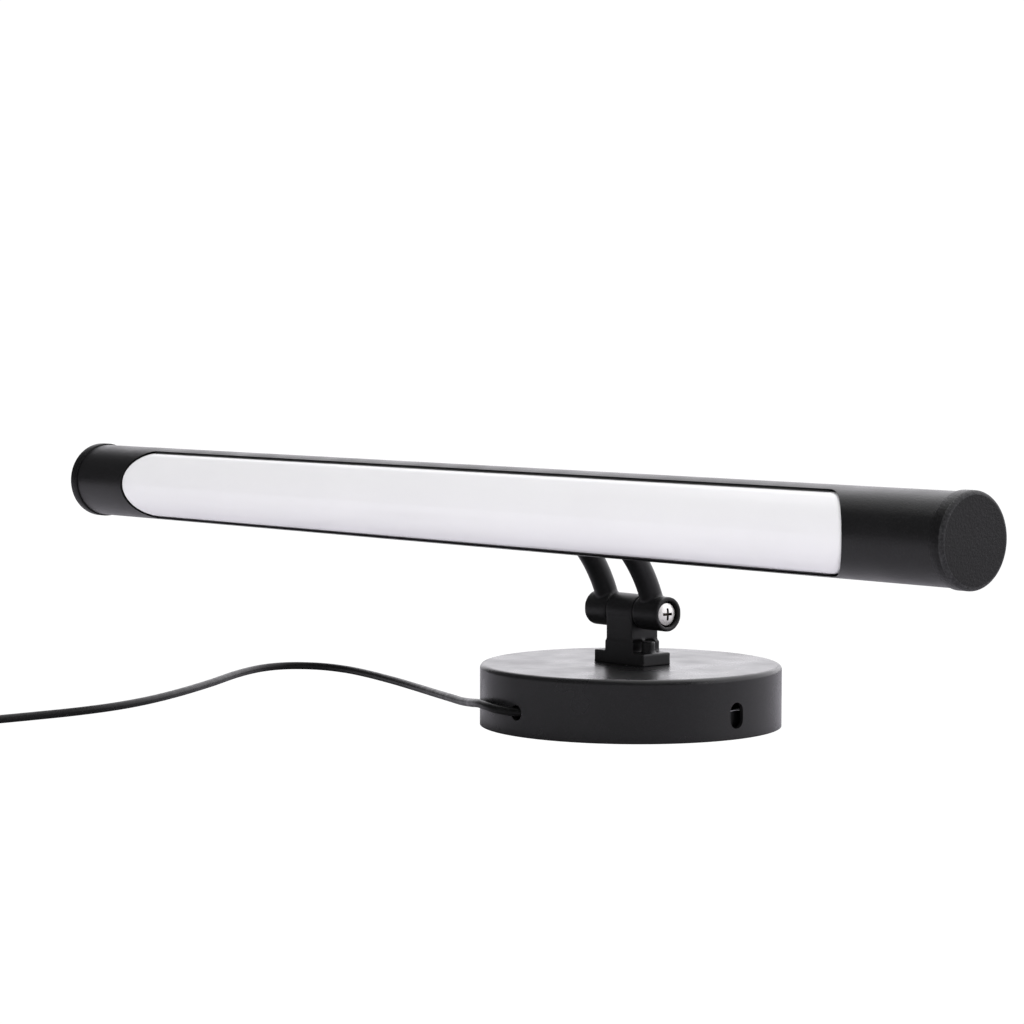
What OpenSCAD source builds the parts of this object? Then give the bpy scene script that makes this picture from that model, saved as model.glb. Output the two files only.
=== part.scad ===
// Tubular LED bar lamp: a long tube on two curved arms, which tilt on a
// knuckle above a low round base. Millimetres, +Z up, the bar along X, the
// window facing -Y. The origin is the centre of the base's underside.

/* [Base] */
// Diameter of the round base
base_d = 110; // [104:1:120]
// Height of the base
base_h = 22.3; // [20:0.1:26]
// Sheet thickness of the base cover
base_wall = 1.5; // [1:0.1:2]
// Outside radius of the cover's top edge
base_edge_r = 1.8; // [1:0.1:2.5]
// Diameter of the hole that the cord leaves by
cord_hole_d = 5.5; // [5.4:0.1:6]
// Height of the cord hole and of the side slots
side_hole_z = 8.4; // [8:0.1:10]
// Width of each side slot
side_slot_w = 6.2; // [5:0.1:7]
// Height of each side slot
side_slot_h = 9.2; // [8:0.1:10]
// Thickness of the pad under the base
pad_t = 1.2; // [0.8:0.1:1.6]
// Thickness of the steel mounting plate
plate_t = 1.6; // [1.2:0.1:2]
// Width of each wall-screw slot in the plate
wall_slot_w = 4.6; // [4:0.1:5]
// Length of each wall-screw slot
wall_slot_l = 12; // [9:0.5:14]
// Distance between the two wall-screw slots
wall_slot_gap = 60; // [56:1:64]

/* [Bracket and hinge] */
// Length of the bracket's foot
foot_l = 26.2; // [26:0.1:28]
// Depth of the bracket's foot
foot_w = 13.8; // [13.5:0.1:14.5]
// Thickness of the bracket's foot
foot_t = 4.5; // [4:0.1:6]
// Width of the post between the arms
post_w = 13.5; // [12:0.1:14]
// Depth of the post below the arms
post_d = 13.3; // [12.4:0.1:13.6]
// Distance of the post's front face from the hinge's axis
post_front = 6; // [5.8:0.1:6.2]
// Height of the hinge's axis
hinge_z = 41.5; // [40:0.1:44]
// Outside diameter of the hinge barrel
barrel_d = 12.6; // [12:0.1:14]
// Where the barrel ends on the screw head's side
barrel_right = 20; // [19:0.1:22]
// Where the barrel ends on the nut's side
barrel_left = 18.6; // [18:0.1:20]
// Diameter of the hinge screw's shank
pin_d = 4; // [3.8:0.1:4.2]
// Diameter of the hinge screw's head
head_d = 8; // [7.5:0.1:8.5]

/* [Arms] */
// Diameter of each arm
arm_d = 8.4; // [7.5:0.1:9]
// Distance of each arm from the middle
arm_x = 12; // [11.6:0.1:12.4]
// Radius of the arm's bend, at its middle
arm_bend_r = 55.1; // [54:0.1:56]

/* [Bar] */
// Length of the whole bar over its caps
bar_l = 462; // [440:1:500]
// Outside diameter of the tube
tube_d = 28.2; // [27.8:0.1:28.6]
// Wall of the tube
tube_wall = 1.4; // [1.2:0.1:1.6]
// Distance of the bar's axis in front of the hinge
bar_reach = 79.5; // [78:0.5:81]
// Height of the bar's axis
bar_z = 82.9; // [82:0.1:84]
// Thickness of the outer band of each end cap
cap_t = 5; // [4:0.5:6]
// Diameter of the end caps
cap_d = 29.2; // [28.8:0.1:29.6]
// Length of the opening cut in the tube
window_l = 386.6; // [380:0.1:390]
// Height of the opening cut in the tube
window_h = 26.4; // [25.4:0.1:26.6]
// How far the window's middle sits towards the nut's side
window_shift = 1.5; // [0:0.1:2]
// How far the window's middle sits below the bar's axis
window_drop = 0.2; // [0:0.1:0.4]
// Dark groove above and below the diffuser
groove = 0.9; // [0.6:0.1:1.1]
// Number of LEDs on the board
led_count = 38; // [20:1:44]
// Distance between neighbouring LEDs
led_pitch = 10; // [8:0.5:10]

/* [Cord] */
// Diameter of the cord
cord_d = 3.1; // [3:0.1:3.2]
// Distance between neighbouring turns of the coil
turn_gap = 3.2; // [3.2:0.1:3.4]

/* [Hidden] */
$fn = 96;

fit = 0.05;
through = 1;
sheet_gap = 0.6;
black = [0.06, 0.06, 0.065];
steel = [0.72, 0.72, 0.74];
opal = [0.94, 0.94, 0.93];

cover_inner_r = base_d / 2 - base_wall;
cover_inner_z = base_h - base_wall;
plate_r = cover_inner_r - sheet_gap;
plate_top = pad_t + plate_t;
standoff_at = [for (a = [90, 210, 330]) [44 * cos(a), 44 * sin(a), 0]];
plate_bore_r = 1.7;
m3_r = 1.45;
m3_head_r = 2.8;

tab_w = 12;
tab_x = 50;
tab_top = 9.8;
wire_r = 0.9;

case_size = [60, 31, 13.5];
case_at = [-30, 8, plate_top + 0.1];
case_wall = 1.5;
board_size = [54, 25, 1.6];
board_z = case_at.z + 4;
terminal_size = [18, 10, 11];
terminal_at = [4, -5, plate_top + 0.1];
terminal_pitch = 8;

anchor_at = [2.6, -51];
anchor_angle = -128;
anchor_l = 12;
anchor_r = 3;
clamp_size = [5, 14, 10];
clamp_from = -10;

foot_top = base_h + foot_t;
foot_screw_x = 9.6;
collar_h = 3.9;
collar_step = 0.65;
collar_lip = 0.2;
waist_z = 36;
recess = [1.4, 10.6, 4.4];
recess_from = 0.5 - post_front;
boss_r = 2.5;
boss_h = 4.1;
stiffener = [34, 20, 1.5];

pin_r = pin_d / 2;
knuckle_half = post_w / 2;
washer_t = 0.5;
half_start = knuckle_half + fit + washer_t;
counterbore_r = 4.7;
counterbore_depth = 3.6;
head_t = 2.3;
head_dome_r = 11;
spring_washer_t = 0.9;
head_seat = barrel_right - counterbore_depth + spring_washer_t;
nut_flats = 7;
nut_t = 3.2;
nut_pocket = 3.5;

bar_y = -bar_reach;
tube_r = tube_d / 2;
tube_inner_r = tube_r - tube_wall;
tube_l = bar_l - 2 * cap_t;
end_groove = 0.4;
lens_l = window_l - 2 * end_groove;
lens_h = window_h - 2 * groove;
lens_r = tube_r - 0.25;
lens_inner_r = 11.2;
spigot_r = 3;
board_w = 16;
carrier_t = 1.5;
carrier_l = 430;

// The arm rises out of the barrel on one bend, which levels out at the
// height of the bar's axis, and then runs straight into the tube's back.
bend_u = 52.7;
bend_from = 16;
lead_from = 24;

// The cord's stretch from the base to the coil, and from the coil to the plug.
cord_r = cord_d / 2;
ROUTE = [[2.6, -51, 8.4], [0.6, -53.6, 8.5], [-1.8, -56.2, 8.8], [-5.2, -58.1, 9.2],
    [-9.4, -58.4, 9.6], [-14.5, -57, 9.8], [-22, -53.9, 9.6], [-33, -47.4, 8.2], [-45, -39, 6.5],
    [-60, -30.5, 4.9], [-77, -22, 3.9], [-98, -12, 2.8], [-122, -1.5, 1.9], [-150, 8, 1.6],
    [-178, 15, 1.6], [-197, 17.5, 1.6], [-212, 15, 1.6], [-221, 6, 1.6], [-220, -8, 1.6],
    [-209, -28, 1.6], [-190, -54, 1.6], [-172, -81, 1.6], [-159, -104, 1.6], [-151, -124, 1.6],
    [-147, -144, 1.6], [-146, -164, 1.6], [-146, -184, 1.6], [-146, -205, 1.6]];
TAIL = [[-170, -229, 4.8], [-175, -229, 4.7], [-180, -229, 4.4], [-184, -229, 4.1], [-188, -229, 4]];
route_steps = 3;
cord_sides = 8;
coil_at = [-170, -205, 0];
coil_outer_r = 24;
layer_turns = 4.625;
coil_inner_r = coil_outer_r - turn_gap * layer_turns;
coil_top = 6.4;
relief_l = 8;
grip_size = [22, 16, 8];
shell_size = [12, 12, 4.5];
plug_at = [TAIL[4].x, TAIL[4].y, TAIL[4].z];

// Point t of the way from b to c on the smooth curve through a, b, c and d
function between(a, b, c, d, t) =
    b + t * (c - a) / 2 + t * t * (a - 2.5 * b + 2 * c - d / 2)
    + t * t * t * (d - 3 * c + 3 * b - a) / 2;
function clamped(points, i) = points[max(0, min(len(points) - 1, i))];
function smooth(points, steps) = [for (i = [0 : len(points) - 2], s = [0 : steps - 1])
    between(clamped(points, i - 1), points[i], points[i + 1], clamped(points, i + 2), s / steps),
    points[len(points) - 1]];
function unit(v) = v / norm(v);
function heading(line, i) = unit(clamped(line, i + 1) - clamped(line, i - 1));
function across(h) = unit(cross(h, [0, 0, 1]));
function ring(centre, h, r, sides) = [for (k = [0 : sides - 1])
    let (a = across(h), b = cross(a, h), turn = 360 * (k + 0.5) / sides)
    centre + r * (cos(turn) * a + sin(turn) * b)];

module swept(line, r, sides) {
    last = len(line) - 1;
    points = [for (i = [0 : last]) each ring(line[i], heading(line, i), r, sides)];
    walls = [for (i = [0 : last - 1], k = [0 : sides - 1])
        [i * sides + k, i * sides + (k + 1) % sides,
        (i + 1) * sides + (k + 1) % sides, (i + 1) * sides + k]];
    first_end = [for (k = [sides - 1 : -1 : 0]) k];
    last_end = [for (k = [0 : sides - 1]) last * sides + k];
    polyhedron(points, concat(walls, [first_end, last_end]));
}

// A rod along X, from x0 to x1
module rod(x0, x1, r) {
    translate([x0, 0, 0]) rotate([0, 90, 0]) cylinder(r = r, h = x1 - x0);
}

// An obround l long and w wide in XY, h high
module obround(l, w, h) {
    for (s = [-1, 1]) translate([s * (l - w) / 2, 0, 0]) cylinder(d = w, h = h);
    translate([-(l - w) / 2, -w / 2, 0]) cube([l - w, w, h]);
}

// An obround l long in X and h high in Z that runs from y0 to y1
module side_obround(l, h, y0, y1) {
    translate([0, y1, 0]) rotate([90, 0, 0]) obround(l, h, y1 - y0);
}

module at_bar() {
    translate([0, bar_y, bar_z]) children();
}

module at_window() {
    translate([-window_shift, bar_y, bar_z - window_drop]) children();
}

module at_hinge() {
    translate([0, 0, hinge_z]) children();
}

// Puts a drawing made in XY into the plane X = x, its own X forward and its Y up
module side_plane(x) {
    translate([x, 0, 0]) rotate([90, 0, -90]) children();
}

// The arm's path in the side plane, from the given lean forward to the reach u
module arm_path(r, lean, reach) {
    translate([bend_u, bar_z - arm_bend_r, 0]) rotate([0, 0, 90])
        rotate_extrude(angle = 90 - lean) translate([arm_bend_r, 0]) circle(r);
    translate([bend_u, bar_z, 0]) rotate([0, 90, 0]) cylinder(r = r, h = reach - bend_u);
}

// ---- Base ----

module base_cover() {
    color(black) difference() {
        rotate_extrude() difference() {
            union() {
                square([base_d / 2 - base_edge_r, base_h]);
                square([base_d / 2, base_h - base_edge_r]);
                translate([base_d / 2 - base_edge_r, base_h - base_edge_r]) circle(base_edge_r);
            }
            translate([0, -through]) square([cover_inner_r, cover_inner_z + through]);
        }
        translate([0, 0, side_hole_z]) {
            rotate([90, 0, 0]) cylinder(d = cord_hole_d, h = base_d);
            for (s = [0, 180]) rotate([0, 0, s]) rotate([0, 90, 0])
                translate([0, 0, cover_inner_r - 2]) obround(side_slot_h, side_slot_w, base_d);
        }
        for (s = [-1, 1]) translate([s * foot_screw_x, 0, cover_inner_z - through])
            cylinder(r = plate_bore_r, h = 4);
        translate([0, 0, cover_inner_z - through]) cylinder(r = 2.5, h = 4);
    }
}

module foot_pad() {
    color(black) difference() {
        cylinder(r = plate_r, h = pad_t);
        for (p = standoff_at) translate([p.x, p.y, -through]) cylinder(r = 4, h = 4);
        for (s = [-1, 1]) translate([s * wall_slot_gap / 2, 0, -through])
            obround(wall_slot_l + 5, wall_slot_w + 5, 4);
    }
}

module mounting_plate() {
    color(black) difference() {
        union() {
            translate([0, 0, pad_t]) cylinder(r = plate_r, h = plate_t);
            for (s = [-1, 1]) translate([s * (tab_x + plate_t / 2) - plate_t / 2, -tab_w / 2, pad_t])
                cube([plate_t, tab_w, tab_top - pad_t]);
        }
        for (p = standoff_at) translate([p.x, p.y, 0]) cylinder(r = plate_bore_r, h = 6);
        for (s = [-1, 1]) translate([s * wall_slot_gap / 2, 0, 0])
            obround(wall_slot_l, wall_slot_w, 6);
    }
}

module plate_standoffs() {
    color(steel) for (p = standoff_at) translate([p.x, p.y, plate_top]) difference() {
        cylinder(r = 3.5, h = cover_inner_z - plate_top);
        translate([0, 0, -through]) cylinder(r = m3_r + fit, h = 9);
    }
}

module plate_screws() {
    color(steel) for (p = standoff_at) translate([p.x, p.y, 0]) {
        difference() {
            translate([0, 0, 0.2]) cylinder(r = m3_head_r, h = pad_t - 0.2);
            cross_recess(3.2, 0.7, 0.7);
        }
        translate([0, 0, pad_t]) cylinder(r = m3_r, h = 8);
    }
}

// A cross recess that opens downwards at Z = 0
module cross_recess(l, w, depth) {
    for (a = [0, 90]) rotate([0, 0, a]) translate([-l / 2, -w / 2, -through])
        cube([l, w, depth + through]);
}

module driver_case() {
    color([0.9, 0.9, 0.88]) translate(case_at) difference() {
        cube(case_size);
        translate([case_wall, case_wall, case_wall])
            cube([case_size.x - 2 * case_wall, case_size.y - 2 * case_wall, case_size.z]);
        translate([case_size.x - 10, -through, 6]) cube([4, 4, 3]);
    }
}

module driver_lid() {
    color([0.9, 0.9, 0.88]) translate(case_at + [0, 0, case_size.z]) cube([case_size.x, case_size.y, 1.5]);
}

module driver_board() {
    color([0.1, 0.35, 0.18]) translate([-board_size.x / 2, case_at.y + 3, board_z]) cube(board_size);
}

module driver_components() {
    top = board_z + board_size.z;
    color([0.15, 0.15, 0.17]) {
        for (x = [-20, -11]) translate([x, 24, top]) cylinder(r = 3.2, h = 6);
        translate([-4, 15, top]) cube([12, 12, 6.5]);
        translate([14, 18, top]) cube([5, 4, 1.6]);
        for (x = [12, 16, 20]) translate([x, 28, top]) cube([2, 3, 1]);
    }
}

module terminal_block() {
    color([0.93, 0.93, 0.9]) translate(terminal_at) difference() {
        cube(terminal_size);
        for (s = [-1, 1]) translate([(terminal_size.x + s * terminal_pitch) / 2, terminal_size.y / 2, 4])
            cylinder(r = 2.2, h = 10);
    }
}

module terminal_screws() {
    color(steel) for (s = [-1, 1])
        translate(terminal_at + [(terminal_size.x + s * terminal_pitch) / 2, terminal_size.y / 2, 4])
            cylinder(r = 2, h = 4);
}

module supply_lead() {
    start = anchor_at - (anchor_l + wire_r) * [cos(anchor_angle), sin(anchor_angle)];
    finish = [terminal_at.x + terminal_size.x / 2, terminal_at.y];
    run = finish - start;
    color([0.5, 0.1, 0.1]) translate([start.x, start.y, side_hole_z])
        rotate([0, 90, atan2(run.y, run.x)]) cylinder(r = wire_r, h = norm(run));
}

module lamp_lead() {
    z = terminal_at.z + 6;
    color([0.85, 0.85, 0.85]) {
        translate([0, 0, z]) cylinder(r = wire_r, h = 36 - z);
        translate([0, 0, z]) sphere(wire_r);
        translate([0, 0, z]) rod(0, terminal_at.x, wire_r);
    }
}

module at_anchor() {
    translate([anchor_at.x, anchor_at.y, side_hole_z]) rotate([0, 0, anchor_angle]) children();
}

module cord_anchor() {
    color(black) at_anchor() rod(-anchor_l, 0, anchor_r);
}

module cord_clamp() {
    color([0.2, 0.2, 0.22]) at_anchor() difference() {
        translate([clamp_from, -clamp_size.y / 2, plate_top - side_hole_z]) cube(clamp_size);
        rod(-anchor_l - through, through, anchor_r + fit);
        for (s = [-1, 1]) translate([clamp_from + clamp_size.x / 2, s * 5, -10])
            cylinder(r = 1.2, h = 30);
    }
}

module clamp_screws() {
    color(steel) at_anchor() for (s = [-1, 1]) translate([clamp_from + clamp_size.x / 2, s * 5, 0]) {
        translate([0, 0, plate_top + clamp_size.z - side_hole_z]) cylinder(r = 2, h = 1.4);
        translate([0, 0, plate_top - side_hole_z + 0.5]) cylinder(r = 1.15, h = clamp_size.z - 0.5);
    }
}

// ---- Bracket ----

module bracket() {
    color(black) translate([foot_screw_x, -0.2, foot_top]) cylinder(r = boss_r, h = boss_h);
    color(black) difference() {
        union() {
            translate([-foot_l / 2, -post_front - collar_lip, base_h]) cube([foot_l, foot_w, foot_t]);
            translate([-post_w / 2 - collar_step, -post_front - collar_lip, foot_top])
                cube([post_w + 2 * collar_step, post_d + 2 * collar_lip, collar_h]);
            translate([-post_w / 2, -post_front, foot_top]) cube([post_w, post_d, waist_z - foot_top]);
            translate([-post_w / 2, -post_front, foot_top])
                cube([post_w, 2 * post_front, hinge_z - foot_top]);
            at_hinge() rod(-knuckle_half, knuckle_half, barrel_d / 2);
        }
        at_hinge() rod(-base_d, base_d, pin_r + fit);
        translate([0, 0, base_h - through]) cylinder(r = 1.6, h = 15);
        for (s = [-1, 1]) translate([s * foot_screw_x, 0, base_h - through])
            cylinder(r = m3_r + fit, h = 4.6);
        translate([post_w / 2 + collar_step - recess.x, recess_from, foot_top])
            cube([recess.x + through, recess.y, recess.z]);
    }
}

module bracket_plate() {
    z = cover_inner_z - stiffener.z;
    color(steel) difference() {
        translate([-stiffener.x / 2, -stiffener.y / 2, z]) cube(stiffener);
        for (s = [-1, 1]) translate([s * foot_screw_x, 0, z - through])
            cylinder(r = plate_bore_r, h = 5);
        translate([0, 0, z - through]) cylinder(r = 2.5, h = 5);
    }
}

module bracket_screws() {
    z = cover_inner_z - stiffener.z;
    color(steel) for (s = [-1, 1]) translate([s * foot_screw_x, 0, z]) {
        translate([0, 0, -2]) difference() {
            cylinder(r = m3_head_r, h = 2);
            cross_recess(3.2, 0.7, 1);
        }
        cylinder(r = m3_r, h = base_h + 3.4 - z);
    }
}

// ---- Hinge ----

module arm_with_barrel(x, x0, x1) {
    difference() {
        union() {
            at_hinge() rod(x0, x1, barrel_d / 2);
            side_plane(x) arm_path(arm_d / 2, bend_from, bar_reach - 2);
        }
        at_bar() rod(-bar_l, bar_l, tube_r + 0.02);
        side_plane(x) arm_path(1.3, lead_from, bar_reach);
        at_hinge() rod(-base_d, base_d, pin_r + fit);
    }
    difference() {
        translate([x, bar_y + 9, bar_z]) rotate([-90, 0, 0]) cylinder(r = spigot_r, h = tube_r - 8);
        translate([x, bar_y, bar_z]) rotate([-90, 0, 0]) cylinder(r = 1.3, h = tube_r + 6);
    }
}

module left_arm() {
    color(black) difference() {
        arm_with_barrel(-arm_x, -barrel_left, -half_start);
        at_hinge() rotate([0, 90, 0]) translate([0, 0, -barrel_left - through])
            cylinder(d = nut_flats / cos(30) + 0.2, h = nut_pocket + through, $fn = 6);
    }
}

module right_arm() {
    color(black) difference() {
        arm_with_barrel(arm_x, half_start, barrel_right);
        at_hinge() rod(barrel_right - counterbore_depth, barrel_right + through, counterbore_r);
    }
}

module arm_lead() {
    color([0.85, 0.85, 0.85]) difference() {
        side_plane(-arm_x) arm_path(wire_r, lead_from, bar_reach - 6);
        at_bar() rod(-20, 20, 5);
    }
}

module arm_washers() {
    color(steel) for (s = [-1, 1]) intersection() {
        translate([s * arm_x, bar_y + 11, bar_z]) rotate([-90, 0, 0]) difference() {
            cylinder(r = 6.5, h = 3);
            translate([0, 0, -through]) cylinder(r = spigot_r + fit, h = 6);
        }
        at_bar() rod(-30, 30, tube_inner_r);
    }
}

module arm_nuts() {
    color(steel) for (s = [-1, 1]) translate([s * arm_x, bar_y + 11, bar_z]) rotate([90, 0, 0])
        difference() {
            cylinder(d = 10 / cos(30), h = 2, $fn = 6);
            translate([0, 0, -through]) cylinder(r = spigot_r, h = 4);
        }
}

module friction_washers() {
    color(black) for (s = [-1, 1]) at_hinge()
        translate([s * (knuckle_half + fit + washer_t / 2) - washer_t / 2, 0, 0]) difference() {
            rod(0, washer_t, 5.8);
            rod(-through, 2, pin_r + fit);
        }
}

module spring_washer() {
    color(steel) at_hinge() difference() {
        rod(barrel_right - counterbore_depth, head_seat, 3.7);
        rod(0, barrel_right, pin_r + fit);
        translate([barrel_right - counterbore_depth - through, -0.5, 0]) cube([4, 1, 6]);
    }
}

module hinge_screw() {
    color(steel) at_hinge() {
        difference() {
            translate([head_seat, 0, 0]) rotate([0, 90, 0]) rotate_extrude() intersection() {
                square([head_d / 2, head_t]);
                translate([0, head_t - head_dome_r]) circle(head_dome_r);
            }
            translate([head_seat + head_t, 0, 0]) rotate([0, -90, 0])
                cross_recess(4.4, 0.95, 1.3);
        }
        rod(-barrel_left + 0.6, head_seat, pin_r);
    }
}

module hinge_nut() {
    color(steel) at_hinge() rotate([0, 90, 0]) difference() {
        translate([0, 0, -barrel_left + nut_pocket - nut_t])
            cylinder(d = nut_flats / cos(30), h = nut_t, $fn = 6);
        translate([0, 0, -barrel_left - through]) cylinder(r = pin_r, h = 8);
    }
}

// ---- Bar ----

module tube_housing() {
    color(black) at_bar() difference() {
        rod(-tube_l / 2, tube_l / 2, tube_r);
        rod(-bar_l, bar_l, tube_inner_r);
        translate([-window_shift, 0, -window_drop]) side_obround(window_l, window_h, -tube_d, -2.9);
        for (s = [-1, 1]) translate([s * arm_x, 0, 0]) rotate([-90, 0, 0])
            cylinder(r = spigot_r + fit, h = tube_d);
    }
}

module end_cap() {
    rotate([0, 90, 0]) difference() {
        union() {
            rotate_extrude() {
                square([cap_d / 2 - 0.8, cap_t]);
                square([cap_d / 2, cap_t - 0.8]);
                translate([cap_d / 2 - 0.8, cap_t - 0.8]) circle(0.8);
            }
            translate([0, 0, -9]) cylinder(r = tube_inner_r, h = 9.5);
        }
        translate([0, 0, -10]) cylinder(r = tube_inner_r - 1.6, h = 12);
    }
}

module right_end_cap() {
    color(black) at_bar() translate([tube_l / 2, 0, 0]) end_cap();
}

module left_end_cap() {
    color(black) at_bar() translate([-tube_l / 2, 0, 0]) rotate([0, 0, 180]) end_cap();
}

module diffuser() {
    color(opal) intersection() {
        at_bar() difference() {
            rod(-bar_l / 2, bar_l / 2, lens_r);
            rod(-bar_l, bar_l, lens_inner_r);
        }
        at_window() side_obround(lens_l, lens_h, -tube_d, -3.1);
    }
}

// Two seal strips, in the grooves above and below the diffuser
module diffuser_gasket() {
    strip_l = window_l - window_h;
    strip_h = groove - 2 * fit;
    color(black) intersection() {
        at_bar() difference() {
            rod(-bar_l / 2, bar_l / 2, tube_r - 0.5);
            rod(-bar_l, bar_l, lens_inner_r);
        }
        at_window() for (z = [lens_h / 2 + fit, -lens_h / 2 - fit - strip_h])
            translate([-strip_l / 2, -tube_d, z]) cube([strip_l, tube_d - 3, strip_h]);
    }
}

module led_carrier() {
    color([0.8, 0.8, 0.82]) at_bar() difference() {
        intersection() {
            translate([-carrier_l / 2, 0, -tube_r]) cube([carrier_l, carrier_t, tube_d]);
            rod(-bar_l, bar_l, tube_inner_r - 0.1);
        }
        translate([-arm_x, -through, 0]) rotate([-90, 0, 0]) cylinder(r = 2, h = 5);
    }
}

module led_board() {
    board_l = led_count * led_pitch + 6;
    color([0.9, 0.9, 0.88]) at_bar() translate([-board_l / 2, -1.6, -board_w / 2])
        cube([board_l, 1.6, board_w]);
}

module led_chips() {
    color([0.95, 0.85, 0.45]) at_bar() for (i = [0 : led_count - 1])
        translate([(i - (led_count - 1) / 2) * led_pitch - 1.75, -2.4, -1.4]) cube([3.5, 0.8, 2.8]);
}

// ---- Cord ----

module cord_tube() {
    color(black) swept(smooth(ROUTE, route_steps), cord_r, cord_sides);
}

module cord_coil() {
    edge = 1.5;
    r0 = coil_inner_r - cord_r;
    r1 = coil_outer_r + cord_r;
    color(black) translate(coil_at) rotate_extrude() translate([r0, 0]) {
        translate([0, edge]) square([r1 - r0, coil_top - 2 * edge]);
        translate([edge, 0]) square([r1 - r0 - 2 * edge, coil_top]);
        for (x = [edge, r1 - r0 - edge], z = [edge, coil_top - edge]) translate([x, z]) circle(edge);
    }
}

module cord_tail() {
    color(black) swept(smooth(TAIL, route_steps), cord_r, cord_sides);
}

// The plug lies along -X, its strain relief starting where the tail ends
module plug_grip() {
    color(black) translate(plug_at) {
        rotate([0, -90, 0]) cylinder(r1 = 2.2, r2 = 3, h = relief_l);
        translate([-relief_l - grip_size.x, -grip_size.y / 2, -grip_size.z / 2 + 0.05])
            cube(grip_size - [0, 0, 0.1]);
    }
}

module plug_shell() {
    color(steel) translate(plug_at + [-relief_l - grip_size.x - shell_size.x, 0, 0])
        difference() {
            translate([0, -shell_size.y / 2, -shell_size.z / 2]) cube(shell_size);
            translate([-through, -shell_size.y / 2 + 0.35, -shell_size.z / 2 + 0.35])
                cube([shell_size.x + 2 * through, shell_size.y - 0.7, shell_size.z - 0.7]);
        }
}

module plug_tongue() {
    color([0.9, 0.9, 0.92]) translate(plug_at + [-relief_l - grip_size.x - shell_size.x + 0.6, 0, 0])
        translate([0, -shell_size.y / 2 + 0.35, -0.1]) cube([shell_size.x - 0.6, shell_size.y - 0.7, 2]);
}

base_cover();
foot_pad();
mounting_plate();
plate_standoffs();
plate_screws();
driver_case();
driver_lid();
driver_board();
driver_components();
terminal_block();
terminal_screws();
supply_lead();
lamp_lead();
cord_anchor();
cord_clamp();
clamp_screws();
bracket();
bracket_plate();
bracket_screws();
left_arm();
right_arm();
arm_lead();
arm_nuts();
arm_washers();
friction_washers();
spring_washer();
hinge_screw();
hinge_nut();
tube_housing();
left_end_cap();
right_end_cap();
diffuser();
diffuser_gasket();
led_carrier();
led_board();
led_chips();
cord_tube();
cord_coil();
cord_tail();
plug_grip();
plug_shell();
plug_tongue();
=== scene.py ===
"""Looks of the LED bar lamp: metres, +Z up, the bar along X, the window facing -Y."""
import math

import bmesh
import bpy
from mathutils import Matrix, Vector


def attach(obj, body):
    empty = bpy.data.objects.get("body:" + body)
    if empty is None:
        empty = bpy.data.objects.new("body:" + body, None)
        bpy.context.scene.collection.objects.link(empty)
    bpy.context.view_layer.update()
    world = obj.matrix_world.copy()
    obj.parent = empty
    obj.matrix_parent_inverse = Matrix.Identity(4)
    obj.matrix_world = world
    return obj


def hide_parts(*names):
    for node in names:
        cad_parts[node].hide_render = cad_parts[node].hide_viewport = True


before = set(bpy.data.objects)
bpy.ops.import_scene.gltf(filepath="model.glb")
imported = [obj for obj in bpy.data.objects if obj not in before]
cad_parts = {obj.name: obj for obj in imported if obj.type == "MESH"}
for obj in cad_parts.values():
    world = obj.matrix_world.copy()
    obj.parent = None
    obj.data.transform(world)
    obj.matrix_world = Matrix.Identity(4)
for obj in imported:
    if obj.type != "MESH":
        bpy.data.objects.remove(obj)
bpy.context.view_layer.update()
scene = bpy.context.scene
MM = 0.001

# Places and sizes from the CAD, in millimetres.
HINGE_Z = 41.5
BORE_R = 2.06
HEAD_TOP = 19.6
HEAD_DOME_R = 11
FOOT_Z = 22.6
TAB_TOP_Z = 9.6
BAR_Y, BAR_Z = -79.5, 82.9
BAR_CLEAR_R = 16.5
LENS_L, LENS_H = 385.8, 24.6
LENS_X, LENS_DROP = -1.5, 0.2
LENS_R = 13.85


# ---------------------------------------------------------------- camera
def make_camera():
    """The camera stands low in front of the lamp's right end and looks along the bar."""
    azimuth, pitch, roll = (math.radians(a) for a in (139.513, -3.413, 0.1416))
    forward = Vector(
        (math.cos(azimuth) * math.cos(pitch), math.sin(azimuth) * math.cos(pitch), math.sin(pitch))
    )
    right = forward.cross(Vector((0, 0, 1))).normalized()
    up = right.cross(forward)
    turned_right = right * math.cos(roll) + up * math.sin(roll)
    turned_up = up * math.cos(roll) - right * math.sin(roll)
    data = bpy.data.cameras.new("camera")
    data.lens = 103.659
    data.sensor_width = 36
    data.clip_start = 0.01
    data.clip_end = 50
    camera = bpy.data.objects.new("camera", data)
    axes = Matrix((turned_right, turned_up, -forward)).transposed()
    camera.matrix_world = Matrix.Translation((0.78632, -0.72839, 0.14122)) @ axes.to_4x4()
    scene.collection.objects.link(camera)
    scene.camera = camera


make_camera()


# ---------------------------------------------------------------- cord
CORD_R = 1.55 * MM
ROUTE = [
    (2.6, -51, 8.4), (0.6, -53.6, 8.5), (-1.8, -56.2, 8.8), (-5.2, -58.1, 9.2),
    (-9.4, -58.4, 9.6), (-14.5, -57, 9.8), (-22, -53.9, 9.6), (-33, -47.4, 8.2), (-45, -39, 6.5),
    (-60, -30.5, 4.9), (-77, -22, 3.9), (-98, -12, 2.8), (-122, -1.5, 1.9), (-150, 8, 1.6),
    (-178, 15, 1.6), (-197, 17.5, 1.6), (-212, 15, 1.6), (-221, 6, 1.6), (-220, -8, 1.6),
    (-209, -28, 1.6), (-190, -54, 1.6), (-172, -81, 1.6), (-159, -104, 1.6), (-151, -124, 1.6),
    (-147, -144, 1.6), (-146, -164, 1.6), (-146, -184, 1.6),
]
TAIL = [(-175, -229, 4.7), (-180, -229, 4.4), (-184, -229, 4.1), (-188, -229, 4)]
COIL_AT = (-170, -205)
COIL_R = 24
TURN_GAP = 3.2
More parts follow.
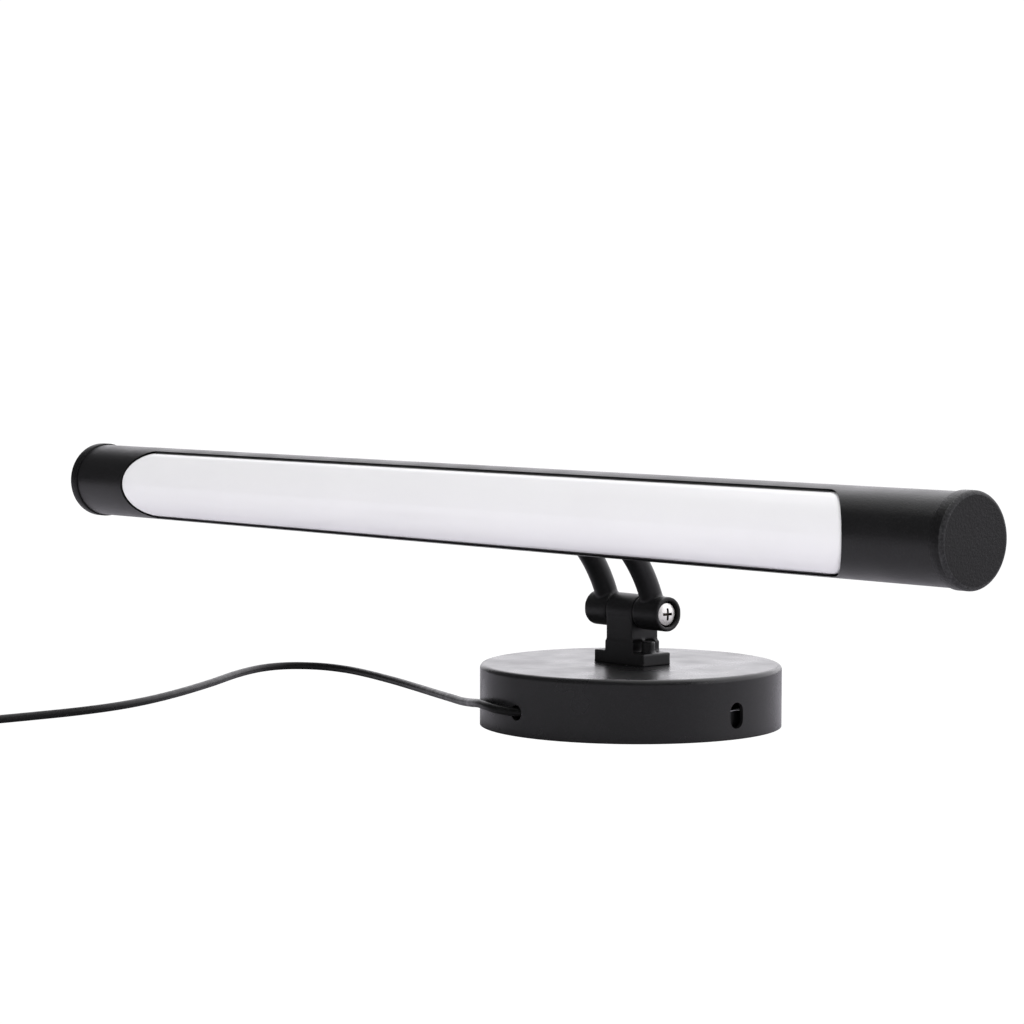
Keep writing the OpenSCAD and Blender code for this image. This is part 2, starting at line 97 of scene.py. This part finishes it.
LAYER_TURNS = 4.625
LAYER_Z = (1.6, 4.8)
POINTS_A_TURN = 16


def ease(t):
    t = max(0.0, min(1.0, t))
    return t * t * (3 - 2 * t)


def coil_points():
    """Clockwise from the cord's side: inward on the floor, up at the middle, outward on top."""
    total = round(2 * LAYER_TURNS * POINTS_A_TURN)
    points = []
    for i in range(total + 1):
        turns = i / POINTS_A_TURN
        from_middle = turns - LAYER_TURNS
        radius = COIL_R - TURN_GAP * (LAYER_TURNS - abs(from_middle))
        angle = -2 * math.pi * turns
        height = LAYER_Z[0] + (LAYER_Z[1] - LAYER_Z[0]) * ease(0.5 + from_middle / 0.6)
        points.append(
            (COIL_AT[0] + radius * math.cos(angle), COIL_AT[1] + radius * math.sin(angle), height)
        )
    return points


def smooth_curve(name, points, radius):
    """One open Bezier spline through the points, in millimetres, with even handles."""
    data = bpy.data.curves.new(name, "CURVE")
    data.dimensions = "3D"
    data.resolution_u = 8
    data.bevel_depth = 1
    data.bevel_resolution = 8
    data.use_fill_caps = True
    spline = data.splines.new("BEZIER")
    spline.bezier_points.add(len(points) - 1)
    at = [Vector(p) * MM for p in points]
    for i, point in enumerate(spline.bezier_points):
        before, after = at[max(0, i - 1)], at[min(len(at) - 1, i + 1)]
        point.handle_left_type = point.handle_right_type = "FREE"
        point.radius = radius
        point.co = at[i]
        point.handle_left = at[i] - (after - before) / 6
        point.handle_right = at[i] + (after - before) / 6
    piece = bpy.data.objects.new(name, data)
    scene.collection.objects.link(piece)
    return piece


cord = smooth_curve("cord", ROUTE + coil_points() + TAIL, CORD_R)
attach(cord, "base")
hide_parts("cord_tube", "cord_coil", "cord_tail")


# ---------------------------------------------------------------- materials
RANGE_SOCKETS = ("From Min", "From Max", "To Min", "To Max")


class Finish:
    """A procedural material in the making: one shader, and textures in object coordinates."""

    def __init__(self, name, **constants):
        self.material = bpy.data.materials.new(name)
        self.material.use_nodes = True
        self.tree = self.material.node_tree
        self.shader = self.tree.nodes["Principled BSDF"]
        for socket, value in constants.items():
            self.shader.inputs[socket.replace("_", " ")].default_value = value
        self.place = self.tree.nodes.new("ShaderNodeTexCoord").outputs["Object"]

    def stretched(self, scale):
        node = self.tree.nodes.new("ShaderNodeMapping")
        node.inputs["Scale"].default_value = scale
        self.tree.links.new(self.place, node.inputs["Vector"])
        return node.outputs["Vector"]

    def noise(self, scale, detail=3, roughness=0.55, stretch=None, distortion=0):
        node = self.tree.nodes.new("ShaderNodeTexNoise")
        node.inputs["Scale"].default_value = scale
        node.inputs["Detail"].default_value = detail
        node.inputs["Roughness"].default_value = roughness
        node.inputs["Distortion"].default_value = distortion
        vector = self.stretched(stretch) if stretch else self.place
        self.tree.links.new(vector, node.inputs["Vector"])
        return node.outputs["Fac"]

    def cells(self, scale):
        node = self.tree.nodes.new("ShaderNodeTexVoronoi")
        node.inputs["Scale"].default_value = scale
        self.tree.links.new(self.place, node.inputs["Vector"])
        return node.outputs["Distance"]

    def ranged(self, value, low, high, to_low, to_high):
        node = self.tree.nodes.new("ShaderNodeMapRange")
        for socket, number in zip(RANGE_SOCKETS, (low, high, to_low, to_high)):
            node.inputs[socket].default_value = number
        self.tree.links.new(value, node.inputs["Value"])
        return node.outputs["Result"]

    def colour(self, value, stops):
        """Colours by the value: stops are (position, (r, g, b))."""
        node = self.tree.nodes.new("ShaderNodeValToRGB")
        ramp = node.color_ramp
        while len(ramp.elements) < len(stops):
            ramp.elements.new(1)
        for element, (position, rgb) in zip(ramp.elements, stops):
            element.position = position
            element.color = (*rgb, 1)
        self.tree.links.new(value, node.inputs["Fac"])
        self.tree.links.new(node.outputs["Color"], self.shader.inputs["Base Color"])
        return self

    def rough(self, value, low, high, to_low, to_high):
        result = self.ranged(value, low, high, to_low, to_high)
        self.tree.links.new(result, self.shader.inputs["Roughness"])
        return self

    def bump(self, value, depth, strength=1.0):
        """Adds relief, depth in metres; several reliefs stack."""
        node = self.tree.nodes.new("ShaderNodeBump")
        node.inputs["Strength"].default_value = strength
        node.inputs["Distance"].default_value = depth
        self.tree.links.new(value, node.inputs["Height"])
        socket = self.shader.inputs["Normal"]
        if socket.is_linked:
            self.tree.links.new(socket.links[0].from_socket, node.inputs["Normal"])
        self.tree.links.new(node.outputs["Normal"], socket)
        return self


def grey(value, tint=0.0):
    return (value, value, value * (1 + tint))


def powder_coat(name, grain, depth, roughness, dark, light, gloss=0.32):
    """Cured powder: a fine pebbled skin over a slow orange peel."""
    finish = Finish(name, IOR=1.5, Specular_IOR_Level=gloss)
    pebbles = finish.noise(grain, 2, 0.6)
    finish.colour(pebbles, [
        (0.3, grey(dark, 0.05)), (0.62, grey(light, 0.05)), (0.78, grey(light * 1.8, 0.03)),
    ])
    finish.rough(finish.noise(60, 2), 0.3, 0.7, roughness - 0.04, roughness + 0.05)
    finish.bump(finish.noise(260, 1), 0.00002, 0.5).bump(pebbles, depth)
    return finish.material


def moulded(name, dark, light, roughness, grain=1500, depth=0.00002):
    """Spark-textured moulded plastic."""
    finish = Finish(name, IOR=1.5)
    spark = finish.noise(grain, 3, 0.65)
    finish.colour(finish.noise(grain / 6, 3), [(0.3, dark), (0.7, light)])
    finish.rough(spark, 0.3, 0.7, roughness - 0.07, roughness + 0.07)
    finish.bump(spark, depth)
    return finish.material


def plated(name, dark, light, roughness, stretch=(1, 1, 1), grain=900, depth=0.000004):
    """Plated or bare metal with fine drawn or tumbled marks."""
    finish = Finish(name, Metallic=1.0)
    marks = finish.noise(grain, 4, 0.6, stretch)
    finish.colour(finish.noise(120, 3, stretch=stretch), [(0.25, dark), (0.75, light)])
    finish.rough(marks, 0.25, 0.75, roughness * 0.75, roughness * 1.35)
    finish.bump(marks, depth)
    return finish.material


def opal_diffuser():
    """Milky acrylic: the light goes in and comes out again, under a satin-gloss skin."""
    finish = Finish(
        "opal_diffuser", IOR=1.49, Subsurface_Weight=0.35, Subsurface_Scale=0.004,
        Subsurface_Radius=(1, 1, 0.96),
    )
    finish.colour(finish.noise(25, 2), [(0.3, (0.755, 0.753, 0.762)), (0.7, (0.77, 0.768, 0.776))])
    finish.rough(finish.noise(40, 3, stretch=(0.15, 1, 1)), 0.3, 0.7, 0.17, 0.23)
    finish.bump(finish.noise(90, 1, stretch=(0.2, 1, 1)), 0.000012, 0.6)
    return finish.material


def soft_jacket(name):
    """Extruded soft PVC: a satin skin with faint draw lines and dust."""
    finish = Finish(name, IOR=1.45, Specular_IOR_Level=0.16)
    finish.colour(finish.noise(900, 4), [(0.35, grey(0.003)), (0.7, grey(0.007))])
    finish.rough(finish.noise(240, 3), 0.3, 0.7, 0.3, 0.42)
    finish.bump(finish.noise(700, 3, 0.6), 0.00002)
    return finish.material


def circuit_board():
    finish = Finish("green_solder_mask", IOR=1.55)
    finish.colour(finish.cells(420), [
        (0.1, (0.012, 0.1, 0.035)), (0.5, (0.02, 0.17, 0.06)), (0.9, (0.03, 0.22, 0.08)),
    ])
    finish.rough(finish.noise(300, 2), 0.3, 0.7, 0.22, 0.36)
    finish.bump(finish.cells(420), 0.00003)
    return finish.material


def led_phosphor():
    finish = Finish("led_phosphor", IOR=1.5)
    finish.colour(finish.noise(1800, 2), [(0.3, (0.86, 0.66, 0.2)), (0.7, (0.95, 0.78, 0.3))])
    finish.rough(finish.noise(900, 2), 0.3, 0.7, 0.3, 0.45)
    finish.bump(finish.noise(1800, 2), 0.00002)
    return finish.material


def painted_highlight_plate():
    """Black coated plate with a painted highlight: coloured near-white above the top edge height
    of its upturned tabs.
    """
    finish = Finish("plate_with_painted_highlight", IOR=1.5)
    parts = finish.tree.nodes.new("ShaderNodeSeparateXYZ")
    finish.tree.links.new(finish.place, parts.inputs["Vector"])
    # Painted highlight: faces above the tabs' top edge height are coloured near-white.
    edge_highlight = finish.ranged(parts.outputs["Z"], TAB_TOP_Z * MM, (TAB_TOP_Z + 0.05) * MM, 0, 1)
    finish.colour(edge_highlight, [(0, grey(0.002)), (1, grey(0.95))])
    finish.rough(finish.noise(900, 2), 0.3, 0.7, 0.35, 0.5)
    finish.bump(finish.noise(2300, 2), 0.00002)
    return finish.material


def screw_head():
    """Dull nickel, with painted shade near-black brown in the cross recess: under the head's domed
    skin, and only on the head's side, so the shank's end by the nut stays bright."""
    finish = Finish("screw_nickel", Metallic=0.85)
    tree = finish.tree
    parts = tree.nodes.new("ShaderNodeSeparateXYZ")
    tree.links.new(finish.place, parts.inputs["Vector"])
    offset = tree.nodes.new("ShaderNodeVectorMath")
    offset.operation = "SUBTRACT"
    offset.inputs[1].default_value = (0, 0, HINGE_Z * MM)
    tree.links.new(finish.place, offset.inputs[0])
    flat = tree.nodes.new("ShaderNodeVectorMath")
    flat.operation = "MULTIPLY"
    flat.inputs[1].default_value = (0, 1, 1)
    tree.links.new(offset.outputs["Vector"], flat.inputs[0])
    square = tree.nodes.new("ShaderNodeVectorMath")
    square.operation = "DOT_PRODUCT"
    tree.links.new(flat.outputs["Vector"], square.inputs[0])
    tree.links.new(flat.outputs["Vector"], square.inputs[1])
    sag = tree.nodes.new("ShaderNodeMath")
    sag.operation = "MULTIPLY_ADD"
    sag.inputs[1].default_value = 1 / (2 * HEAD_DOME_R * MM)
    tree.links.new(square.outputs["Value"], sag.inputs[0])
    tree.links.new(parts.outputs["X"], sag.inputs[2])
    top = HEAD_TOP * MM
    in_recess = finish.ranged(sag.outputs["Value"], top - 0.25 * MM, top - 0.1 * MM, 0, 1)
    nut_side = finish.ranged(parts.outputs["X"], -1 * MM, 0, 1, 0)
    bright = tree.nodes.new("ShaderNodeMath")
    bright.operation = "MAXIMUM"
    tree.links.new(in_recess, bright.inputs[0])
    tree.links.new(nut_side, bright.inputs[1])
    # Painted shade: the cross recess is coloured near-black brown, the rest nickel.
    finish.colour(bright.outputs["Value"], [(0, (0.03, 0.022, 0.016)), (1, (0.86, 0.85, 0.82))])
    finish.rough(finish.noise(1400, 3), 0.3, 0.7, 0.34, 0.5)
    finish.bump(finish.noise(1400, 3), 0.000006)
    return finish.material


COAT = powder_coat("powder_coat", 1700, 0.00007, 0.36, 0.004, 0.007)
BASE_COAT = powder_coat("base_powder_coat", 2600, 0.000018, 0.29, 0.005, 0.009, 0.34)
CAP = powder_coat("cap_grain", 1250, 0.00011, 0.4, 0.003, 0.006, 0.2)
# The rim's coarser grain is real; its lighter colour is a painted highlight on the rounded rim.
CAP_RIM = powder_coat("cap_rim_grain_and_painted_highlight", 1250, 0.00016, 0.5, 0.008, 0.026, 0.3)
CAST = powder_coat("cast_powder_coat", 2600, 0.00002, 0.42, 0.004, 0.007)
RUBBER = moulded("black_rubber", grey(0.012), grey(0.02), 0.75, 700)
BLACK_PLASTIC = moulded("black_plastic", grey(0.012), grey(0.02), 0.5)
ZINC = plated("zinc_plate", (0.5, 0.51, 0.53), (0.66, 0.67, 0.68), 0.32)
NICKEL = plated("nickel_plate", (0.72, 0.7, 0.67), (0.86, 0.85, 0.82), 0.22, grain=1400)
WHITE_PLASTIC = moulded("white_plastic", (0.68, 0.68, 0.66), (0.74, 0.74, 0.72), 0.45)
BOARD = circuit_board()
PARTS = moulded("component_bodies", grey(0.03), grey(0.05), 0.35, 2000, 0.00001)
WHITE_BOARD = moulded(
    "white_solder_mask", (0.8, 0.8, 0.78), (0.86, 0.86, 0.84), 0.35, 900, 0.00001
)
PHOSPHOR = led_phosphor()
ALUMINIUM = plated(
    "extruded_aluminium", (0.6, 0.6, 0.61), (0.72, 0.72, 0.73), 0.38, (0.03, 1, 1)
)
WHITE_WIRE = moulded("white_wire", (0.7, 0.7, 0.69), (0.76, 0.76, 0.75), 0.4, 900, 0.00001)
RED_WIRE = moulded("red_wire", (0.36, 0.03, 0.03), (0.46, 0.05, 0.05), 0.4, 900, 0.00001)
PLATE = painted_highlight_plate()
SCREW = screw_head()
NYLON = moulded("black_nylon", grey(0.008), grey(0.014), 0.5)
OPAL = opal_diffuser()
JACKET = soft_jacket("cord_jacket")

FINISHES = {
    "base_cover": BASE_COAT, "foot_pad": RUBBER, "mounting_plate": PLATE, "plate_standoffs": ZINC,
    "plate_screws": ZINC, "driver_case": WHITE_PLASTIC, "driver_lid": WHITE_PLASTIC,
    "driver_board": BOARD, "driver_components": PARTS, "terminal_block": WHITE_PLASTIC,
    "terminal_screws": ZINC, "supply_lead": RED_WIRE, "lamp_lead": WHITE_WIRE,
    "cord_anchor": RUBBER, "cord_clamp": BLACK_PLASTIC, "clamp_screws": ZINC, "bracket": CAST,
    "bracket_plate": ZINC, "bracket_screws": ZINC, "left_arm": CAST, "right_arm": CAST,
    "arm_lead": WHITE_WIRE, "arm_nuts": ZINC, "arm_washers": ZINC, "friction_washers": NYLON,
    "spring_washer": ZINC, "hinge_screw": SCREW, "hinge_nut": ZINC, "tube_housing": COAT,
    "left_end_cap": CAP, "right_end_cap": CAP, "diffuser": OPAL, "diffuser_gasket": RUBBER,
    "led_carrier": ALUMINIUM, "led_board": WHITE_BOARD, "led_chips": PHOSPHOR,
    "cord_tube": JACKET, "cord_coil": JACKET, "cord_tail": JACKET, "plug_grip": BLACK_PLASTIC,
    "plug_shell": NICKEL, "plug_tongue": WHITE_PLASTIC,
}


def dress(piece, material):
    piece.data.materials.clear()
    piece.data.materials.append(material)


for node, node_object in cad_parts.items():
    dress(node_object, FINISHES[node])
dress(cord, JACKET)


# ---------------------------------------------------------------- mesh pieces
def piece_from(name, body, replaced, material, mesh):
    """Makes a piece from a bmesh in millimetres."""
    bmesh.ops.recalc_face_normals(mesh, faces=mesh.faces)
    data = bpy.data.meshes.new(name)
    mesh.transform(Matrix.Scale(MM, 4))
    mesh.to_mesh(data)
    mesh.free()
    for face in data.polygons:
        face.use_smooth = True
    piece = bpy.data.objects.new(name, data)
    scene.collection.objects.link(piece)
    data.materials.append(material)
    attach(piece, body)
    if replaced:
        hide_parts(*replaced)
    return piece


def loops_to_faces(mesh, loops):
    """Joins each closed loop of points to the next with quads."""
    rows = [[mesh.verts.new(p) for p in loop] for loop in loops]
    for row, following in zip(rows, rows[1:]):
        count = len(row)
        for k in range(count):
            j = (k + 1) % count
            mesh.faces.new((row[k], row[j], following[j], following[k]))
    return rows


def obround_points(inset, depth, arc=24, run=60):
    """The window's outline, inset by that much, that far behind the lens's round skin, with the
    number of points in each end's arc and each straight run."""
    r = max(0.25, LENS_H / 2 - inset)
    half = (LENS_L - LENS_H) / 2
    flat = []
    for i in range(arc + 1):
        a = -math.pi / 2 + math.pi * i / arc
        flat.append((half + r * math.cos(a), r * math.sin(a)))
    flat += [(half - 2 * half * i / run, r) for i in range(1, run)]
    for i in range(arc + 1):
        a = math.pi / 2 + math.pi * i / arc
        flat.append((-half + r * math.cos(a), r * math.sin(a)))
    flat += [(-half + 2 * half * i / run, -r) for i in range(1, run)]
    points = []
    for x, z in flat:
        z -= LENS_DROP
        points.append((LENS_X + x, BAR_Y - math.sqrt(LENS_R * LENS_R - z * z) + depth, BAR_Z + z))
    return points, arc, run


def make_diffuser():
    """A curved obround lens with rolled edges."""
    edge, innermost, side_depth = 1.2, 12.05, 2.8
    mesh = bmesh.new()
    loops = []
    for inset in (innermost, 10.5, 9, 7, 5.4, 4, 3):
        loops.append(obround_points(inset, 0)[0])
    for i in range(9):
        a = math.pi / 2 * i / 8
        loops.append(obround_points(edge - edge * math.sin(a), edge * (1 - math.cos(a)))[0])
    loops.append(obround_points(0, side_depth)[0])
    rows = loops_to_faces(mesh, loops)
    _, arc, run = obround_points(innermost, 0)
    middle = rows[0]
    top = middle[arc : arc + run + 1]
    bottom = [middle[0]] + middle[: -(run + 1) : -1]
    bottom = bottom[: run + 1]
    for k in range(run):
        mesh.faces.new((top[k], top[k + 1], bottom[k + 1], bottom[k]))
    mesh.faces.new(middle[: arc + 1])
    mesh.faces.new(middle[arc + run : 2 * arc + run + 1])
    return piece_from("diffuser_lens", "lamp", ["diffuser"], OPAL, mesh)


make_diffuser()


def make_end_cap(name, side):
    """A grained moulded cap: a wide round rim, coarser in grain and coloured lighter as a painted
    highlight, a plain face and a hairline seam at the tube.
    """
    end, seam, outer, spigot, rim = 231.0, 226.0, 14.6, 12.65, 1.3
    reach, sides = 9, 96
    profile = [(seam - reach, spigot - 1.6), (seam - reach, spigot - 0.3)]
    profile += [(seam - reach + 0.3, spigot), (seam, spigot)]
    profile += [(seam, outer - 0.35), (seam + 0.06, outer - 0.12), (seam + 0.25, outer)]
    profile += [(end - rim - 1.2, outer)]
    for k in range(11):
        a = math.radians(9 * k)
        profile.append((end - rim + rim * math.sin(a), outer - rim + rim * math.cos(a)))
    profile += [(end, outer - rim - 0.6), (end, 6), (end, 0.3)]
    mesh = bmesh.new()
    loops = []
    for x, radius in profile:
        loops.append([
            (
                side * x,
                BAR_Y + radius * math.cos(2 * math.pi * k / sides),
                BAR_Z + radius * math.sin(2 * math.pi * k / sides),
            )
            for k in range(sides)
        ])
    rows = loops_to_faces(mesh, loops)
    mesh.faces.new(rows[-1])
    for face in mesh.faces:
        centre = face.calc_center_median()
        from_axis = math.hypot(centre.y - BAR_Y, centre.z - BAR_Z)
        on_rim = abs(centre.x) > end - rim and from_axis > outer - rim
        # Rim faces take the lighter material: a painted highlight on the rounded rim, with coarser
        # grain.
        face.material_index = 1 if on_rim else 0
    piece = piece_from(name + "_moulding", "lamp", [name], CAP, mesh)
    piece.data.materials.append(CAP_RIM)
    return piece


make_end_cap("right_end_cap", 1)
make_end_cap("left_end_cap", -1)


def cast_piece(node, body, passes):
    """The CAD shape with a casting's fillets and rounded corners. It is left as it is near the
    tube and the base, and its bore is kept open round the hinge screw's shank."""
    voxel, bore_reach = 0.35, 0.25
    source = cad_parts[node]
    piece = bpy.data.objects.new(node + "_cast", source.data.copy())
    scene.collection.objects.link(piece)
    remesh = piece.modifiers.new("remesh", "REMESH")
    remesh.mode = "VOXEL"
    remesh.voxel_size = voxel * MM
    scene.view_layers[0].update()
    shaped = piece.evaluated_get(bpy.context.evaluated_depsgraph_get())
    data = bpy.data.meshes.new_from_object(shaped)
    piece.modifiers.clear()
    piece.data = data
    mesh = bmesh.new()
    mesh.from_mesh(data)
    free = [
        v for v in mesh.verts
        if math.hypot(v.co.y / MM - BAR_Y, v.co.z / MM - BAR_Z) > BAR_CLEAR_R
        and v.co.z / MM > FOOT_Z
    ]
    for _ in range(passes):
        bmesh.ops.smooth_vert(
            mesh, verts=free, factor=0.5, use_axis_x=True, use_axis_y=True, use_axis_z=True
        )
    for v in mesh.verts:
        y, z = v.co.y / MM, v.co.z / MM - HINGE_Z
        from_axis = math.hypot(y, z)
        if 0 < from_axis < BORE_R + bore_reach:
            v.co.y = y * BORE_R / from_axis * MM
            v.co.z = (HINGE_Z + z * BORE_R / from_axis) * MM
    mesh.to_mesh(data)
    mesh.free()
    for face in data.polygons:
        face.use_smooth = True
    dress(piece, CAST)
    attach(piece, body)
    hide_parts(node)


cast_piece("left_arm", "lamp", 8)
cast_piece("right_arm", "lamp", 8)
cast_piece("bracket", "base", 5)


def make_tie():
    """A soft strap round one side of the coil, its end lapped over on top."""
    inner_r, outer_r, top = 7.9, 25.9, 6.6
    width, thick, corner = 7.0, 0.4, 1.6
    lap_half, lap_margin = 5.5, 0.3
    angle = math.radians(115)
    outward = Vector((math.cos(angle), math.sin(angle), 0))
    along = Vector((-math.sin(angle), math.cos(angle), 0))
    centre = Vector((*COIL_AT, 0))
    middle, half = (inner_r + outer_r) / 2, (outer_r - inner_r) / 2
    path = []
    for cx, cz, start in (
        (middle + half - corner, top - corner, 0), (middle - half + corner, top - corner, 90),
        (middle - half + corner, corner + thick, 180),
        (middle + half - corner, corner + thick, 270),
    ):
        for k in range(7):
            a = math.radians(start + 15 * k)
            path.append((cx, cz, math.cos(a), math.sin(a)))
    mesh = bmesh.new()
    loops = []
    for out, side in (
        (0, -1), (0.55, -1), (1, -0.94), (1, 0.94), (0.55, 1), (0, 1), (0, -1)
    ):
        loop = []
        for cx, cz, c, n in path:
            reach = corner + thick * out
            place = centre + outward * (cx + c * reach) + along * (side * width / 2)
            place.z = cz + n * reach
            loop.append(place)
        loops.append(loop)
    loops_to_faces(mesh, loops[:-1])
    lap = []
    for height, grow in ((0, 0), (0.35, 0), (0.45, -0.3)):
        lap.append([
            centre + outward * (middle + u * (lap_half + grow))
            + along * (v * (width / 2 - lap_margin + grow))
            + Vector((0, 0, top + thick + height))
            for u, v in ((-1, -1), (1, -1), (1, 1), (-1, 1))
        ])
    rows = loops_to_faces(mesh, lap)
    mesh.faces.new(rows[-1])
    return piece_from("coil_tie", "base", [], RUBBER, mesh)


def make_plug_grip():
    """A rounded moulded grip with finger ribs, and a ringed, tapered strain relief."""
    x0, y0, z0 = -188.0, -229.0, 4.0
    half_width, half_height, corner_power = 7.9, 3.9, 2 / 5
    relief_l, relief_rings, relief_steps, groove_depth = 8, 4, 24, 0.22
    sides = 48
    mesh = bmesh.new()
    loops = []
    rings = []
    for k in range(relief_steps + 1):
        t = k / relief_steps
        groove = groove_depth * (0.5 - 0.5 * math.cos(2 * math.pi * t * relief_rings))
        rings.append((x0 - relief_l * t, 2.2 + 0.8 * t - groove * (1 - t * 0.3)))
    for x, radius in rings:
        loops.append([
            (
                x,
                y0 + radius * math.cos(2 * math.pi * j / sides),
                z0 + radius * math.sin(2 * math.pi * j / sides),
            )
            for j in range(sides)
        ])
    stations = [(0, 0.42), (0.4, 0.72), (1.2, 0.9), (2.4, 1), (6, 1)]
    stations += [(7 + 0.5 * k, 1 - (0.035 if k % 4 in (1, 2) else 0)) for k in range(17)]
    stations += [(19, 1), (21.2, 1), (21.8, 0.96), (22, 0.9)]
    for run, share in stations:
        loop = []
        for j in range(sides):
            a = 2 * math.pi * j / sides
            c, n = math.cos(a), math.sin(a)
            loop.append((
                x0 - relief_l - run,
                y0 + half_width * share * math.copysign(abs(c) ** corner_power, c),
                z0 + half_height * share * math.copysign(abs(n) ** corner_power, n),
            ))
        loops.append(loop)
    rows = loops_to_faces(mesh, loops)
    mesh.faces.new(rows[0])
    mesh.faces.new(rows[-1])
    return piece_from(
        "plug_grip_moulding", "base", ["plug_grip"], BLACK_PLASTIC, mesh
    )


tie = make_tie()
grip = make_plug_grip()


# ---------------------------------------------------------------- floor, world and lights
PAPER_STRENGTH = 1.05


def make_floor():
    """White for the camera, and a pale grey for the light that it sends back to the lamp."""
    mesh = bmesh.new()
    side, front_edge, back_edge = 1.5, -0.75, 1.6
    corners = [
        (-side, front_edge, 0), (side, front_edge, 0), (side, back_edge, 0), (-side, back_edge, 0),
    ]
    mesh.faces.new([mesh.verts.new(c) for c in corners])
    data = bpy.data.meshes.new("floor")
    mesh.to_mesh(data)
    mesh.free()
    floor = bpy.data.objects.new("floor", data)
    scene.collection.objects.link(floor)
    finish = Finish("white_floor", Roughness=0.9)
    finish.colour(finish.noise(6, 2), [(0.3, (0.575, 0.56, 0.6)), (0.7, (0.595, 0.58, 0.62))])
    tree = finish.tree
    paper = tree.nodes.new("ShaderNodeEmission")
    paper.inputs["Strength"].default_value = PAPER_STRENGTH
    path = tree.nodes.new("ShaderNodeLightPath")
    mix = tree.nodes.new("ShaderNodeMixShader")
    tree.links.new(path.outputs["Is Camera Ray"], mix.inputs["Fac"])
    tree.links.new(finish.shader.outputs["BSDF"], mix.inputs[1])
    tree.links.new(paper.outputs["Emission"], mix.inputs[2])
    tree.links.new(mix.outputs["Shader"], tree.nodes["Material Output"].inputs["Surface"])
    dress(floor, finish.material)


def make_world():
    """White all round for the camera; the lamp sees white behind and above, dark in front."""
    world = bpy.data.worlds.new("studio")
    scene.world = world
    world.use_nodes = True
    tree = world.node_tree
    tree.nodes.clear()
    make = tree.nodes.new
    link = tree.links.new
    place = make("ShaderNodeTexCoord")
    parts = make("ShaderNodeSeparateXYZ")
    link(place.outputs["Generated"], parts.inputs["Vector"])
    factors = []
    for axis, low, high, to_low, to_high in (
        ("Y", 0.05, 0.5, 0.05, 1.0), ("Z", -0.02, 0.1, 1.0, 2.0),
    ):
        node = make("ShaderNodeMapRange")
        node.interpolation_type = "SMOOTHSTEP"
        for socket, number in zip(RANGE_SOCKETS, (low, high, to_low, to_high)):
            node.inputs[socket].default_value = number
        link(parts.outputs[axis], node.inputs["Value"])
        factors.append(node.outputs["Result"])
    total = make("ShaderNodeMath")
    total.operation = "MULTIPLY"
    for socket, factor in zip(total.inputs, factors):
        link(factor, socket)
    studio = make("ShaderNodeBackground")
    studio.inputs["Color"].default_value = (0.975, 0.96, 1, 1)
    link(total.outputs["Value"], studio.inputs["Strength"])
    paper = make("ShaderNodeBackground")
    paper.inputs["Color"].default_value = (1, 1, 1, 1)
    paper.inputs["Strength"].default_value = PAPER_STRENGTH
    path = make("ShaderNodeLightPath")
    mix = make("ShaderNodeMixShader")
    link(path.outputs["Is Camera Ray"], mix.inputs["Fac"])
    link(studio.outputs["Background"], mix.inputs[1])
    link(paper.outputs["Background"], mix.inputs[2])
    out = make("ShaderNodeOutputWorld")
    link(mix.outputs["Shader"], out.inputs["Surface"])


def softbox(name, at, aim, width, height, power):
    data = bpy.data.lights.new(name, "AREA")
    data.shape = "RECTANGLE"
    data.size = width
    data.size_y = height
    data.energy = power
    light = bpy.data.objects.new(name, data)
    light.location = at
    light.rotation_euler = (Vector(aim) - Vector(at)).to_track_quat("-Z", "Y").to_euler()
    scene.collection.objects.link(light)
    light.visible_camera = False
    return light


make_floor()
make_world()
softbox("overhead", (0.1, 0.2, 0.9), (0.1, 0.2, 0), 1.6, 1.3, 7)
# The front light fills the shade and is left out of the black coat's reflections.
front = softbox("front", (0.1, -1.3, 0.42), (0, -0.08, 0.08), 1.8, 0.9, 16.5)
front.visible_glossy = False
scene.view_settings.view_transform = "Standard"
